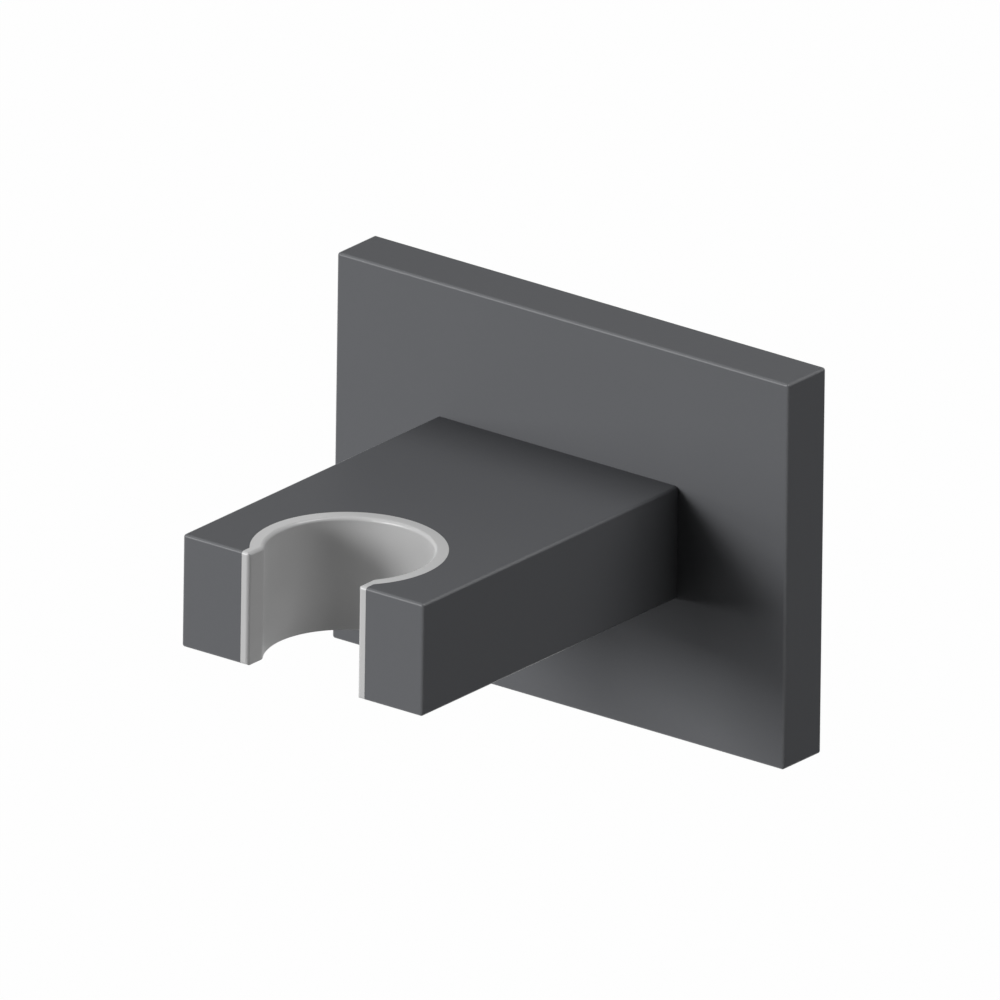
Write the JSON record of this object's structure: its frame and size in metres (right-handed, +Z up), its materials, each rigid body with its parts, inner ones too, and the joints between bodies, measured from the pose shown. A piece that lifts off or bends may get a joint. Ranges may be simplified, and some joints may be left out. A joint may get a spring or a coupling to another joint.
{
  "type": "hand shower holder",
  "caption": "Fixed wall holder for a hand shower: a square-cut arm on a rectangular plate, with a plastic-lined round seat that is open to the front.",
  "frame": {"origin": "centre of the wall plate's back face, in the plane of the wall", "axes": "+Z up, +X to the right as seen from the front, +Y into the wall; the arm stands out along -Y"},
  "size_m": [0.075, 0.0632, 0.0546],
  "materials": {
    "coated_metal": "matt dark grey powder coat",
    "liner_plastic": "matt light grey moulded plastic",
    "bracket_steel": "plain brushed steel",
    "screw_steel": "bright machined steel"
  },
  "bodies": {
    "root": {"wall_plate": "coated_metal", "arm": "coated_metal", "liner": "liner_plastic", "wall_bracket": "bracket_steel", "arm_screw_left": "screw_steel", "arm_screw_right": "screw_steel", "set_screw_left": "screw_steel", "set_screw_right": "screw_steel"}
  },
  "joints": []
}
